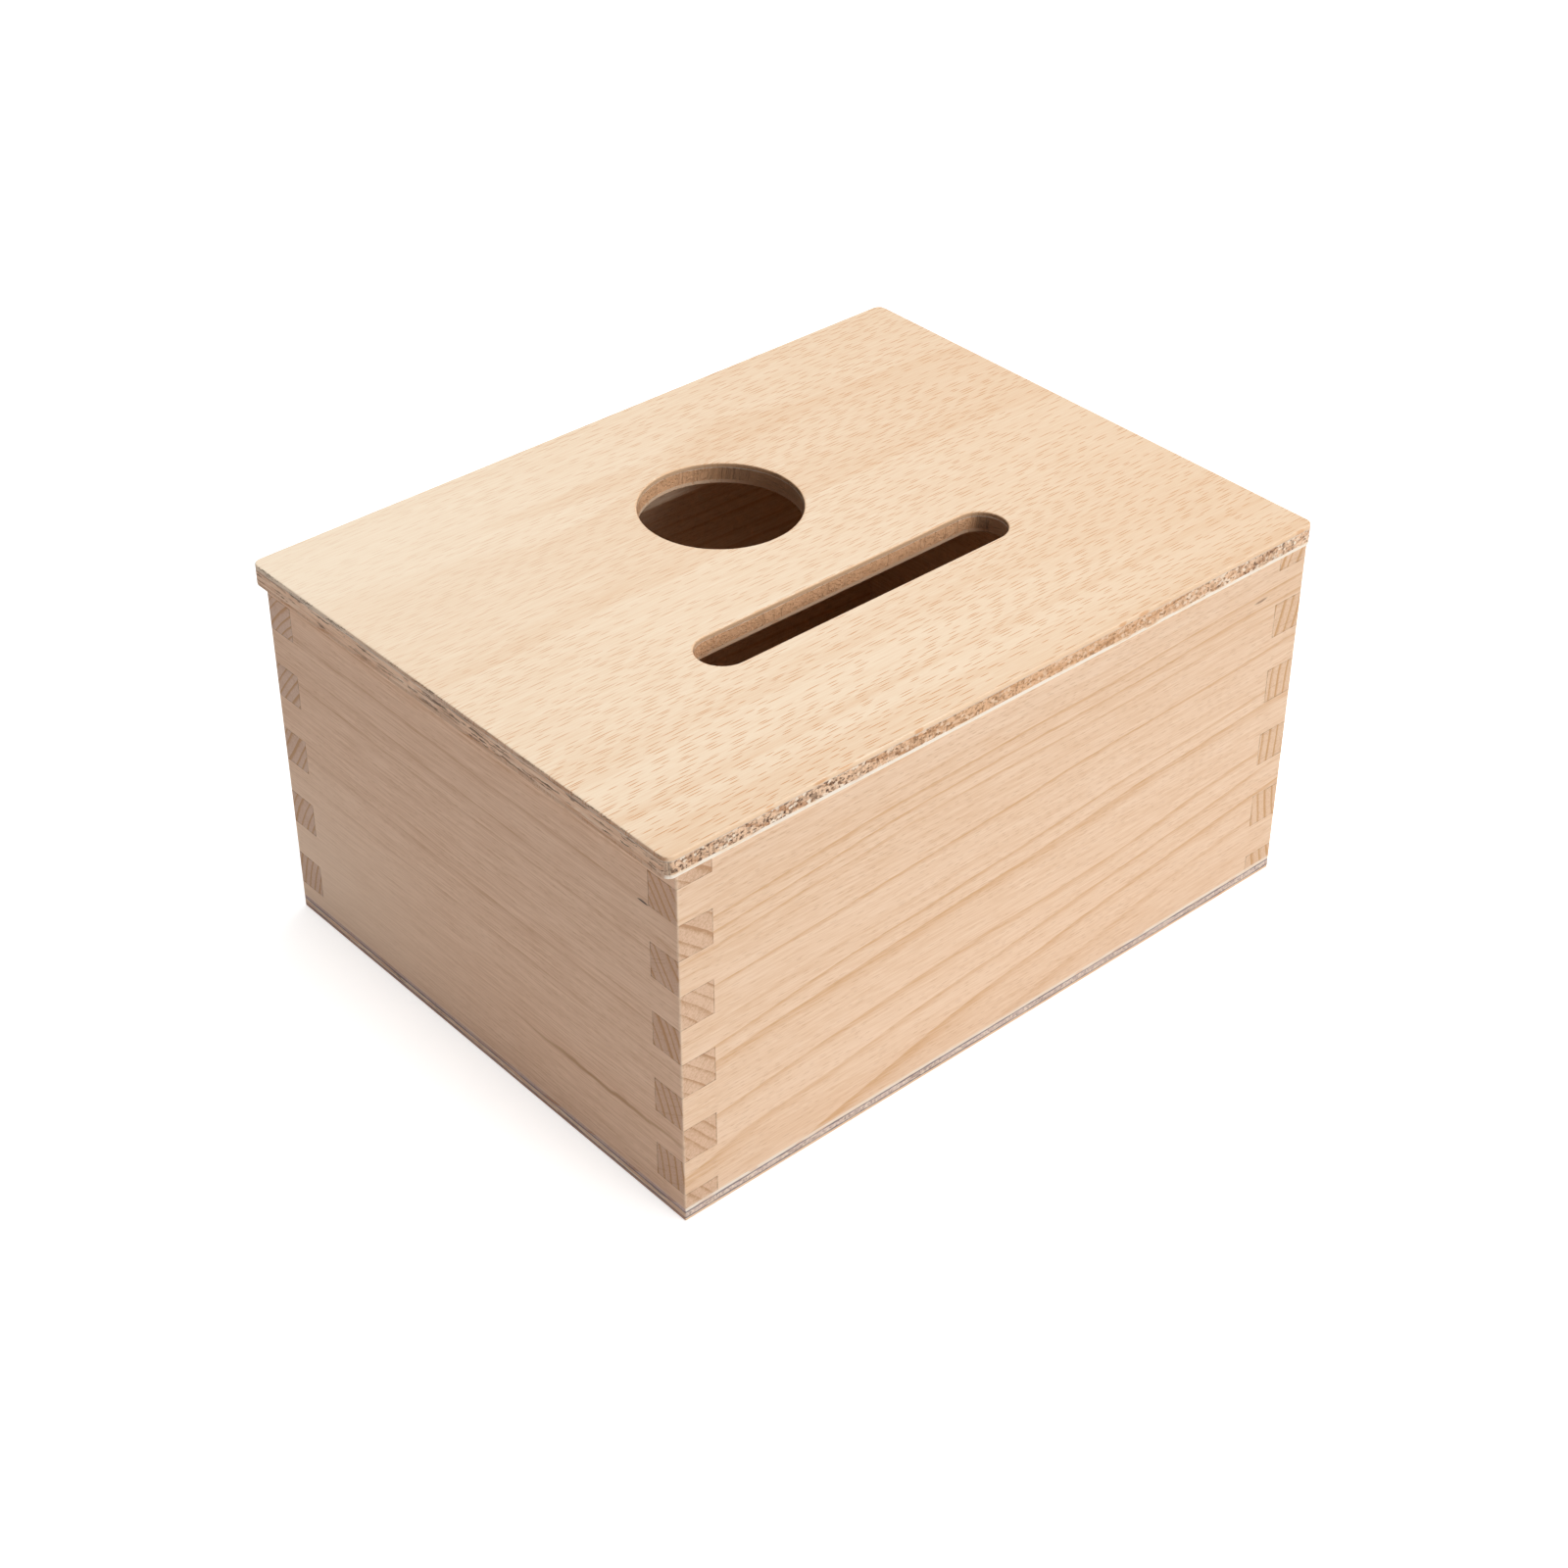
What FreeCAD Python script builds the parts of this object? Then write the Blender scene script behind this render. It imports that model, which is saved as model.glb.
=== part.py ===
"""Wooden money box: finger-jointed walls, a three-ply bottom and a loose three-ply lid with coin openings.

Frame: +Z up, +X along the long side, -Y the front. The origin is the centre of the underside of the bottom.
Sizes are in millimetres.
"""
import FreeCAD, Part
import math
import os

import Sketcher

TOLERANCE = 1e-6

doc = FreeCAD.newDocument("money_box")
sheet = doc.addObject("Spreadsheet::Sheet", "sheet")

# Driving dimensions, each set once
DRIVING_SIZES = {
    "box_length": 206,
    "box_width": 159,
    "wall_height": 99,
    "wall_thickness": 10,
    "finger_height": 10,
    "wall_corner_round": 0.4,
    "floor_face_ply": 1.1,
    "floor_core_ply": 1.8,
    "floor_edge_round": 0.4,
    "lid_face_ply": 1.2,
    "lid_core_ply": 3.6,
    "lid_overhang_ends": 2,
    "lid_overhang_sides": 0.5,
    "lid_corner_round": 2.5,
    "lid_edge_round": 0.4,
    "opening_edge_round": 0.4,
    # Where the loose lid lies within the play of its battens
    "lid_shift_x": -1.4,
    "lid_shift_y": -0.6,
    # Both openings are placed from the middle of the lid
    "coin_hole_diameter": 42.5,
    "coin_hole_x": -1,
    "coin_hole_y": 24.8,
    "slot_length": 98.5,
    "slot_width": 14,
    "slot_x": -1.2,
    "slot_y": -26,
    "batten_width": 10,
    "batten_height": 12,
    "batten_edge_round": 0.8,
    "batten_play_ends": 2,
    "batten_play_sides": 1.2,
}

# Sizes that follow from the driving ones. An odd number of full fingers fills the height,
# and what is left over is shared by a part finger at the top and one at the bottom.
DERIVED_SIZES = {
    "floor_thickness": "=2 * floor_face_ply + floor_core_ply",
    "lid_underside": "=floor_thickness + wall_height",
    "lid_length": "=box_length + 2 * lid_overhang_ends",
    "lid_width": "=box_width + 2 * lid_overhang_sides",
    "finger_count": "=2 * floor((wall_height / finger_height - 1) / 2) + 1",
    "part_finger": "=(wall_height - finger_count * finger_height) / 2",
    "batten_length": "=box_length - 2 * wall_thickness - 2 * batten_play_ends",
    "batten_offset": "=(box_width - batten_width) / 2 - wall_thickness - batten_play_sides",
}


def fill_sheet():
    """Write every size to the sheet under its name."""
    for row, (alias, value) in enumerate({**DRIVING_SIZES, **DERIVED_SIZES}.items(), start=1):
        sheet.set(f"A{row}", alias)
        sheet.set(f"B{row}", str(value))
        sheet.setAlias(f"B{row}", alias)
    doc.recompute()


def new_body(label):
    """Add an empty body whose label names the piece."""
    body = doc.addObject("PartDesign::Body", label)
    body.Label = label
    return body


def new_sketch(body, name, plane_role):
    """Add a sketch on one of the body's own origin planes."""
    sketch = body.newObject("Sketcher::SketchObject", f"{body.Name}_{name}")
    plane = next(item for item in body.Origin.OriginFeatures if item.Role == plane_role)
    sketch.AttachmentSupport = [(plane, "")]
    sketch.MapMode = "FlatFace"
    return sketch


def bind(sketch, constraint, expression):
    """Add a dimension to the sketch and bind it to an expression."""
    index = sketch.addConstraint(constraint)
    sketch.setExpression(f"Constraints[{index}]", expression)


def draw_rectangle(sketch, length, width, centre_x="0", centre_y="0"):
    """Draw a rectangle with its sizes and centre bound to expressions."""
    corners = [FreeCAD.Vector(x, y, 0) for x, y in ((-1, -1), (1, -1), (1, 1), (-1, 1))]
    sides = [
        sketch.addGeometry(Part.LineSegment(corners[index], corners[(index + 1) % 4]))
        for index in range(4)
    ]
    for index, side in enumerate(sides):
        direction = "Horizontal" if index % 2 == 0 else "Vertical"
        sketch.addConstraint(Sketcher.Constraint(direction, side))
        sketch.addConstraint(Sketcher.Constraint("Coincident", side, 2, sides[(index + 1) % 4], 1))
    first, opposite = sides[0], sides[2]
    bind(sketch, Sketcher.Constraint("DistanceX", -1, 1, first, 1, -1), f"{centre_x} - ({length}) / 2")
    bind(sketch, Sketcher.Constraint("DistanceY", -1, 1, first, 1, -1), f"{centre_y} - ({width}) / 2")
    bind(sketch, Sketcher.Constraint("DistanceX", first, 1, opposite, 1, 2), length)
    bind(sketch, Sketcher.Constraint("DistanceY", first, 1, opposite, 1, 2), width)


def draw_circle(sketch, diameter, centre_x, centre_y):
    """Draw a circle with its size and centre bound to expressions; it starts clear of the other outlines."""
    circle = sketch.addGeometry(Part.Circle(FreeCAD.Vector(0, 5, 0), FreeCAD.Vector(0, 0, 1), 2))
    bind(sketch, Sketcher.Constraint("DistanceX", -1, 1, circle, 3, 1), centre_x)
    bind(sketch, Sketcher.Constraint("DistanceY", -1, 1, circle, 3, 1), centre_y)
    bind(sketch, Sketcher.Constraint("Diameter", circle, 4), diameter)


def draw_round_ended_slot(sketch, length, width, centre_x, centre_y):
    """Draw a slot lying along x: two half circles joined by two straight sides.

    The coordinates are a first guess of the right form, which the dimensions then stretch.
    """
    quarter_turn = math.pi / 2
    upwards = FreeCAD.Vector(0, 0, 1)
    left_circle = Part.Circle(FreeCAD.Vector(-4, -5, 0), upwards, 1)
    right_circle = Part.Circle(FreeCAD.Vector(4, -5, 0), upwards, 1)
    left = sketch.addGeometry(Part.ArcOfCircle(left_circle, quarter_turn, 3 * quarter_turn))
    right = sketch.addGeometry(Part.ArcOfCircle(right_circle, -quarter_turn, quarter_turn))
    lower = sketch.addGeometry(Part.LineSegment(FreeCAD.Vector(-4, -6, 0), FreeCAD.Vector(4, -6, 0)))
    upper = sketch.addGeometry(Part.LineSegment(FreeCAD.Vector(4, -4, 0), FreeCAD.Vector(-4, -4, 0)))
    for curve, following in ((left, lower), (lower, right), (right, upper), (upper, left)):
        sketch.addConstraint(Sketcher.Constraint("Tangent", curve, 2, following, 1))
    sketch.addConstraint(Sketcher.Constraint("Horizontal", lower))
    sketch.addConstraint(Sketcher.Constraint("Equal", left, right))
    bind(sketch, Sketcher.Constraint("Radius", left, 1), f"{width} / 2")
    bind(sketch, Sketcher.Constraint("DistanceX", left, 3, right, 3, 8), f"{length} - {width}")
    bind(sketch, Sketcher.Constraint("DistanceX", -1, 1, left, 3, -4),
         f"{centre_x} - ({length} - {width}) / 2")
    bind(sketch, Sketcher.Constraint("DistanceY", -1, 1, left, 3, -5), centre_y)


def pad(body, sketch, thickness):
    """Raise a sketch along the body's z."""
    feature = body.newObject("PartDesign::Pad", f"{body.Name}_pad")
    feature.Profile = sketch
    feature.setExpression("Length", thickness)
    doc.recompute()
    return feature


def round_edges(body, name, radius, chosen):
    """Round the edges of the body's tip that the test picks out."""
    base = body.Tip
    names = [f"Edge{index}" for index, edge in enumerate(base.Shape.Edges, start=1) if chosen(edge)]
    feature = body.newObject("PartDesign::Fillet", f"{body.Name}_{name}")
    feature.Base = (base, names)
    feature.setExpression("Radius", radius)
    doc.recompute()
    return feature


def is_upright(edge):
    """Tell whether a straight edge stands along z."""
    box = edge.BoundBox
    return box.ZLength > TOLERANCE and box.XLength + box.YLength < TOLERANCE


def lies_at(edge, height):
    """Tell whether an edge lies flat at a height."""
    box = edge.BoundBox
    return abs(box.ZMin - height) < TOLERANCE and abs(box.ZMax - height) < TOLERANCE


def place(body, x="0", y="0", z="0", turn=0):
    """Put a body where its expressions say, turned about z."""
    body.Placement.Rotation = FreeCAD.Rotation(FreeCAD.Vector(0, 0, 1), turn)
    for axis, expression in (("x", x), ("y", y), ("z", z)):
        body.setExpression(f"Placement.Base.{axis}", expression)


def make_wall(label, length, notch_base, notch_count, x, y, turn):
    """A board with its outer face towards its own -Y and a row of finger notches in both ends."""
    body = new_body(label)
    outline = new_sketch(body, "outline", "XY_Plane")
    draw_rectangle(outline, length, "sheet.wall_thickness")
    board = pad(body, outline, "sheet.wall_height")
    outer_face = board.Shape.BoundBox.YMin
    round_edges(
        body, "corners", "sheet.wall_corner_round",
        lambda edge: is_upright(edge) and abs(edge.BoundBox.YMin - outer_face) < TOLERANCE)
    volume_before = body.Shape.Volume

    notches = new_sketch(body, "notches", "XZ_Plane")
    for side in ("-1", "1"):
        draw_rectangle(
            notches, "2 * sheet.wall_thickness", "sheet.finger_height",
            f"{side} * {length} / 2", f"{notch_base} + sheet.finger_height / 2")
    cut = body.newObject("PartDesign::Pocket", f"{body.Name}_notch")
    cut.Profile = notches
    cut.Type = "ThroughAll"
    cut.Midplane = True
    doc.recompute()

    row = body.newObject("PartDesign::LinearPattern", f"{body.Name}_notch_row")
    row.Originals = [cut]
    row.Direction = (notches, ["V_Axis"])
    row.setExpression("Length", f"2 * sheet.finger_height * ({notch_count} - 1)")
    row.setExpression("Occurrences", notch_count)
    body.Tip = row
    doc.recompute()
    if body.Shape.Volume >= volume_before:
        raise RuntimeError(f"{label}: the finger notches cut nothing")
    place(body, x, y, "sheet.floor_thickness", turn)
    return body


def make_floor_ply(label, thickness, height, rounded_below=False):
    """One sheet of the bottom panel, flush with the outside of the walls."""
    body = new_body(label)
    outline = new_sketch(body, "outline", "XY_Plane")
    draw_rectangle(outline, "sheet.box_length", "sheet.box_width")
    pad(body, outline, thickness)
    round_edges(body, "corners", "sheet.wall_corner_round", is_upright)
    if rounded_below:
        round_edges(body, "lower_edges", "sheet.floor_edge_round", lambda edge: lies_at(edge, 0))
    place(body, z=height)
    return body


def make_lid_ply(label, thickness, height, rounded_side=None):
    """One sheet of the lid with the coin hole and the slot; face plies have their outer edges eased."""
    body = new_body(label)
    outline = new_sketch(body, "outline", "XY_Plane")
    draw_rectangle(outline, "sheet.lid_length", "sheet.lid_width")
    draw_circle(outline, "sheet.coin_hole_diameter", "sheet.coin_hole_x", "sheet.coin_hole_y")
    draw_round_ended_slot(outline, "sheet.slot_length", "sheet.slot_width", "sheet.slot_x", "sheet.slot_y")
    sheet_of_wood = pad(body, outline, thickness)
    bounds = sheet_of_wood.Shape.BoundBox

    def on_outside(edge):
        centre = edge.BoundBox.Center
        return min(centre.x - bounds.XMin, bounds.XMax - centre.x,
                   centre.y - bounds.YMin, bounds.YMax - centre.y) < sheet.lid_corner_round

    round_edges(body, "corners", "sheet.lid_corner_round", lambda edge: is_upright(edge) and on_outside(edge))
    if rounded_side:
        eased = bounds.ZMax if rounded_side == "upper" else bounds.ZMin
        round_edges(body, "outer_edges", "sheet.lid_edge_round",
                    lambda edge: lies_at(edge, eased) and on_outside(edge))
        round_edges(body, "opening_edges", "sheet.opening_edge_round",
                    lambda edge: lies_at(edge, eased) and not on_outside(edge))
    place(body, "sheet.lid_shift_x", "sheet.lid_shift_y", height)
    return body


def make_batten(label, side):
    """A strip under the lid that drops inside one long wall and keeps the lid in place."""
    body = new_body(label)
    outline = new_sketch(body, "outline", "XY_Plane")
    draw_rectangle(outline, "sheet.batten_length", "sheet.batten_width")
    pad(body, outline, "sheet.batten_height")
    round_edges(body, "lower_edges", "sheet.batten_edge_round", lambda edge: lies_at(edge, 0))
    place(body, "sheet.lid_shift_x", f"sheet.lid_shift_y + {side} * sheet.batten_offset",
          "sheet.lid_underside - sheet.batten_height")
    return body


def make_pieces():
    """Build every piece of the box and return the bodies."""
    # Fingers and notches take turns up a corner. The long walls start with a notch that is
    # cut partly below the board, which leaves room for the part finger of the short wall.
    first_low_notch = "sheet.part_finger - sheet.finger_height"
    long_wall = ("sheet.box_length", first_low_notch, "(sheet.finger_count + 3) / 2")
    short_wall = ("sheet.box_width", "sheet.part_finger", "(sheet.finger_count + 1) / 2")
    along_width = "(sheet.box_width - sheet.wall_thickness) / 2"
    along_length = "(sheet.box_length - sheet.wall_thickness) / 2"
    pieces = [
        make_wall("front_wall", *long_wall, "0", f"-{along_width}", 0),
        make_wall("right_wall", *short_wall, along_length, "0", 90),
        make_wall("back_wall", *long_wall, "0", along_width, 180),
        make_wall("left_wall", *short_wall, f"-{along_length}", "0", 270),
    ]
    upper_height = "sheet.floor_face_ply + sheet.floor_core_ply"
    pieces += [
        make_floor_ply("floor_lower_ply", "sheet.floor_face_ply", "0", rounded_below=True),
        make_floor_ply("floor_core_ply", "sheet.floor_core_ply", "sheet.floor_face_ply"),
        make_floor_ply("floor_upper_ply", "sheet.floor_face_ply", upper_height),
    ]
    core_height = "sheet.lid_underside + sheet.lid_face_ply"
    top_height = f"{core_height} + sheet.lid_core_ply"
    pieces += [
        make_lid_ply("lid_lower_ply", "sheet.lid_face_ply", "sheet.lid_underside", "lower"),
        make_lid_ply("lid_core_ply", "sheet.lid_core_ply", core_height),
        make_lid_ply("lid_top_ply", "sheet.lid_face_ply", top_height, "upper"),
    ]
    pieces += [make_batten("lid_batten_front", "-1"), make_batten("lid_batten_back", "1")]
    doc.recompute()
    return pieces


def check_document(pieces):
    """Stop if any feature failed or any piece is empty or faulty."""
    for item in doc.Objects:
        if "Invalid" in item.State or "Error" in item.State:
            raise RuntimeError(f"{item.Label} failed: {item.State}")
        if item.isDerivedFrom("Sketcher::SketchObject") and not item.FullyConstrained:
            raise RuntimeError(f"{item.Label} is not fully constrained")
    for body in pieces:
        if body.Shape.isNull() or not body.Shape.isValid():
            raise RuntimeError(f"{body.Label} has no valid shape")


def write_pieces(pieces):
    """Write each piece to its own file, named by its label."""
    os.makedirs("parts", exist_ok=True)
    for body in pieces:
        body.Shape.exportStep(f"parts/{body.Label}.step")
        box = body.Shape.BoundBox
        print(body.Label, "volume", round(body.Shape.Volume), "mm3, size",
              [round(size, 2) for size in (box.XLength, box.YLength, box.ZLength)])


fill_sheet()
all_pieces = make_pieces()
check_document(all_pieces)
write_pieces(all_pieces)
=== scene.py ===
"""Looks of the wooden money box: beech boards, three-ply lid and bottom, soft studio light and camera."""
import math

import bpy
from mathutils import Matrix, Vector


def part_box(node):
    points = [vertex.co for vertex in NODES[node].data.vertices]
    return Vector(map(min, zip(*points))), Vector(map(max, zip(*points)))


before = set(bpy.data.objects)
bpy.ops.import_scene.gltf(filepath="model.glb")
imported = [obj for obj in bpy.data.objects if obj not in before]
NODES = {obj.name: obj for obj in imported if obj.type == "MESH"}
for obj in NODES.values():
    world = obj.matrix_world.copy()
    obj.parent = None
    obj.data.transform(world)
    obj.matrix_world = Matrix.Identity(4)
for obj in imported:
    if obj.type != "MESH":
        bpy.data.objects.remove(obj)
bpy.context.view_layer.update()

MM = 0.001


def box_of(*names):
    """Lowest and highest corner, in millimetres, of one piece or of several together."""
    corners = [Vector(corner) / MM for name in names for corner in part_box(name)]
    low = Vector([min(corner[axis] for corner in corners) for axis in range(3)])
    high = Vector([max(corner[axis] for corner in corners) for axis in range(3)])
    return low, high


# The box's own measures in millimetres
WALLS_LOW, WALLS_HIGH = box_of("front_wall", "back_wall", "left_wall", "right_wall")
FLOOR_LOW, FLOOR_HIGH = box_of("floor_lower_ply", "floor_upper_ply")
LID_LOW, LID_HIGH = box_of("lid_lower_ply", "lid_top_ply")
FLOOR_CORE_LOW, FLOOR_CORE_HIGH = box_of("floor_core_ply")
LID_CORE_TOP = box_of("lid_core_ply")[1].z
LID_CENTRE = (LID_LOW + LID_HIGH) / 2
WALL_THICKNESS = 10.0
FINGER_HEIGHT = 10.0
PART_FINGER_HEIGHT = 4.5
FIRST_JOINT = WALLS_LOW.z + PART_FINGER_HEIGHT
COIN_HOLE_CENTRE = LID_CENTRE + Vector((-1.0, 24.8, 0.0))
COIN_HOLE_RADIUS = 21.25
SLOT_CENTRE = LID_CENTRE + Vector((-1.2, -26.0, 0.0))
SLOT_LENGTH = 98.5
SLOT_WIDTH = 14.0


class Nodes:
    """Adds shader nodes to one tree; a value is either a socket to link or a constant to set."""

    def __init__(self, tree):
        self.tree = tree

    def add(self, kind, **settings):
        node = self.tree.nodes.new(kind)
        for name, value in settings.items():
            setattr(node, name, value)
        return node

    def feed(self, socket, value):
        if isinstance(value, bpy.types.NodeSocket):
            self.tree.links.new(value, socket)
        else:
            socket.default_value = value

    def math(self, operation, first, second=0.0, third=0.0):
        node = self.add("ShaderNodeMath", operation=operation)
        for socket, value in zip(node.inputs, (first, second, third)):
            self.feed(socket, value)
        return node.outputs[0]

    def vector(self, operation, first, second=(0.0, 0.0, 0.0)):
        node = self.add("ShaderNodeVectorMath", operation=operation)
        self.feed(node.inputs[0], first)
        self.feed(node.inputs[1], second)
        return node.outputs["Value" if operation in ("LENGTH", "DOT_PRODUCT") else "Vector"]

    def remap(self, value, low, high, to_low=0.0, to_high=1.0):
        """Smooth step from one range to another; either range may run backwards."""
        node = self.add("ShaderNodeMapRange", interpolation_type="SMOOTHSTEP")
        for name, given in (("Value", value), ("From Min", low), ("From Max", high),
                            ("To Min", to_low), ("To Max", to_high)):
            self.feed(node.inputs[name], given)
        return node.outputs["Result"]

    def noise(self, point, scale, detail=2.0, roughness=0.5, output="Fac"):
        """Noise at a point in millimetres, with a scale for each axis."""
        node = self.add("ShaderNodeTexNoise")
        self.feed(node.inputs["Vector"], self.vector("MULTIPLY", point, scale))
        self.feed(node.inputs["Scale"], 1.0)
        self.feed(node.inputs["Detail"], detail)
        self.feed(node.inputs["Roughness"], roughness)
        return node.outputs[output]

    def wobble(self, point, scale, reach):
        """Move a point by noise, at most half the reach either way on each axis."""
        shift = self.noise(point, scale, output="Color")
        shift = self.vector("SUBTRACT", shift, (0.5, 0.5, 0.5))
        return self.vector("ADD", point, self.vector("MULTIPLY", shift, reach))

    def mix(self, factor, first, second, blend="MIX"):
        """Blend two colours."""
        node = self.add("ShaderNodeMix", data_type="RGBA", blend_type=blend)
        sockets = {socket.identifier: socket for socket in node.inputs}
        self.feed(sockets["Factor_Float"], factor)
        self.feed(sockets["A_Color"], first)
        self.feed(sockets["B_Color"], second)
        return next(socket for socket in node.outputs if socket.identifier == "Result_Color")

    def parts(self, point):
        """The x, y and z of a vector."""
        node = self.add("ShaderNodeSeparateXYZ")
        self.feed(node.inputs[0], point)
        return node.outputs["X"], node.outputs["Y"], node.outputs["Z"]

    def chance(self, point):
        """A random value and a random colour, the same wherever the point is the same."""
        node = self.add("ShaderNodeTexWhiteNoise", noise_dimensions="3D")
        self.feed(node.inputs["Vector"], point)
        return node.outputs["Value"], node.outputs["Color"]

    def join(self, x, y, z):
        """A vector made of three values."""
        node = self.add("ShaderNodeCombineXYZ")
        for socket, value in zip(node.inputs, (x, y, z)):
            self.feed(socket, value)
        return node.outputs["Vector"]


def new_group(name, inputs, outputs):
    """Start a shader node group; returns the group, its nodes and its input and output sockets."""
    group = bpy.data.node_groups.new(name, "ShaderNodeTree")
    for title, kind, default in inputs:
        socket = group.interface.new_socket(title, in_out="INPUT", socket_type=f"NodeSocket{kind}")
        socket.default_value = default
    for title, kind in outputs:
        group.interface.new_socket(title, in_out="OUTPUT", socket_type=f"NodeSocket{kind}")
    nodes = Nodes(group)
    start = nodes.add("NodeGroupInput")
    end = nodes.add("NodeGroupOutput")
    return group, nodes, start.outputs, end.inputs


# Scales of the beech's noises along and across the grain, in steps per millimetre
BEND_SCALE = (0.006, 0.03, 0.03)
STREAK_SCALE = (0.004, 0.085, 0.085)
FIBRE_SCALE = (0.07, 2.1, 2.1)
FLECK_ZONE_SCALE = (0.012, 0.05, 0.05)
# The same for the uneven widths of the rings, with x along the radius
RING_DRIFT_SCALE = (0.16, 0.0, 0.0)
# How far the bend moves the rings from side to side, in millimetres
BEND_REACH = (0.0, 4.0, 4.0)
# Length along the grain of the pits torn in a core ply, in millimetres
PIT_LENGTH = 9.0


def make_beech_grain():
    """Solid beech: rings round a pith, soft streaks, fine fibres and the short dark flecks of its rays.

    The point is in millimetres, with x along the grain and z outwards from the pith, which is the x axis.
    A face along the grain shows lines and dashes, and a cut end shows ring arcs and dots.
    """
    group, nodes, given, result = new_group(
        "beech_grain",
        [
            ("Point", "Vector", (0, 0, 0)),
            ("Facing", "Vector", (0, 0, 1)),
            ("Grain Axis", "Vector", (1, 0, 0)),
            ("Ring Width", "Float", 2.4),
            ("Ring Strength", "Float", 0.5),
            ("Streak Strength", "Float", 0.5),
            ("Fibre Strength", "Float", 1.0),
            ("Fleck Spacing", "Vector", (4.5, 0.9, 6.0)),
            ("Fleck Width", "Float", 0.3),
            ("Fleck Share", "Float", 0.5),
            ("Fleck Strength", "Float", 0.5),
            ("Pale", "Color", (0.9, 0.66, 0.47, 1)),
            ("Tan", "Color", (0.66, 0.42, 0.25, 1)),
            ("Fleck Colour", "Color", (0.4, 0.2, 0.1, 1)),
            ("End Tint", "Color", (0.75, 0.75, 0.77, 1)),
        ],
        [("Color", "Color"), ("Roughness", "Float"), ("Height", "Float"), ("End Grain", "Float")],
    )
    point = given["Point"]
    along = nodes.math("ABSOLUTE", nodes.vector("DOT_PRODUCT", given["Facing"], given["Grain Axis"]))
    end_grain = nodes.remap(along, 0.45, 0.9)

    # Rings: bent a little along the board, uneven in width, each with its own strength
    bent = nodes.wobble(point, BEND_SCALE, BEND_REACH)
    radius = nodes.vector("LENGTH", nodes.vector("MULTIPLY", bent, (0.0, 1.0, 1.0)))
    drift = nodes.noise(nodes.join(radius, 0.0, 0.0), RING_DRIFT_SCALE)
    years = nodes.math("DIVIDE", radius, given["Ring Width"])
    years = nodes.math("MULTIPLY_ADD", drift, 1.6, years)
    season = nodes.math("FRACT", years)
    latewood = nodes.math("POWER", nodes.remap(season, 0.2, 0.96), 4.5)
    latewood = nodes.math("MULTIPLY", latewood, nodes.remap(season, 0.95, 1.0, 1.0, 0.0))
    vigour, _ = nodes.chance(nodes.join(nodes.math("FLOOR", years), 0.5, 0.5))
    vigour = nodes.remap(vigour, 0.3, 0.95, 0.12, 1.0)
    ring = nodes.math("MULTIPLY", latewood, nodes.math("MULTIPLY_ADD", end_grain, 1.5, vigour))

    # Broad soft streaks and fine fibres, both drawn out along the grain
    streak = nodes.noise(bent, STREAK_SCALE, detail=3.0)
    fibre = nodes.noise(bent, FIBRE_SCALE, detail=3.0, roughness=0.65)

    # Ray flecks: short dashes in rows along the grain, each row and each dash with its own place
    x, y, z = nodes.parts(nodes.vector("DIVIDE", bent, given["Fleck Spacing"]))
    row = nodes.math("FLOOR", y)
    layer = nodes.math("FLOOR", z)
    row_shift, _ = nodes.chance(nodes.join(row, layer, 0.5))
    x = nodes.math("MULTIPLY_ADD", row_shift, 9.0, x)
    _, dash = nodes.chance(nodes.join(nodes.math("FLOOR", x), row, layer))
    rank, lift, reach = nodes.parts(dash)
    ahead = nodes.math("SUBTRACT", nodes.math("FRACT", x), 0.5)
    ahead = nodes.math("DIVIDE", ahead, nodes.remap(reach, 0.0, 1.0, 0.24, 0.5))
    aside = nodes.math("SUBTRACT", nodes.math("FRACT", y), nodes.remap(lift, 0.0, 1.0, 0.25, 0.75))
    _, row_height, _ = nodes.parts(given["Fleck Spacing"])
    share_of_row = nodes.math("DIVIDE", given["Fleck Width"], row_height)
    aside = nodes.math("DIVIDE", nodes.math("MULTIPLY", aside, 2.0), share_of_row)
    spindle = nodes.remap(nodes.vector("LENGTH", nodes.join(ahead, aside, 0.0)), 0.45, 1.0, 1.0, 0.0)
    zone = nodes.noise(point, FLECK_ZONE_SCALE)
    limit = nodes.math("MULTIPLY", given["Fleck Share"], nodes.remap(zone, 0.3, 0.7, 0.6, 1.4))
    present = nodes.remap(nodes.math("SUBTRACT", limit, rank), 0.0, 0.35)
    fleck = nodes.math("MULTIPLY", spindle, present)

    # Together: a tone between pale and tan, the flecks on it, and the tint of a cut end
    tone = nodes.math("MULTIPLY_ADD", ring, given["Ring Strength"], 0.22)
    tone = nodes.math("MULTIPLY_ADD", nodes.math("SUBTRACT", streak, 0.5), given["Streak Strength"], tone)
    tone = nodes.math("MULTIPLY_ADD", nodes.math("SUBTRACT", fibre, 0.5), given["Fibre Strength"], tone)
    colour = nodes.mix(tone, given["Pale"], given["Tan"])
    fleck_shade = nodes.math("MULTIPLY", fleck, given["Fleck Strength"])
    colour = nodes.mix(fleck_shade, colour, given["Fleck Colour"])
    colour = nodes.mix(end_grain, colour, nodes.mix(1.0, colour, given["End Tint"], "MULTIPLY"))
    nodes.feed(result["Color"], colour)
    rough = nodes.math("MULTIPLY_ADD", fibre, 0.2, 0.48)
    nodes.feed(result["Roughness"], nodes.math("MULTIPLY_ADD", end_grain, 0.15, rough))
    nodes.feed(result["Height"], nodes.math("SUBTRACT", nodes.math("MULTIPLY", fibre, 0.5), fleck))
    nodes.feed(result["End Grain"], end_grain)
    return group


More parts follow.
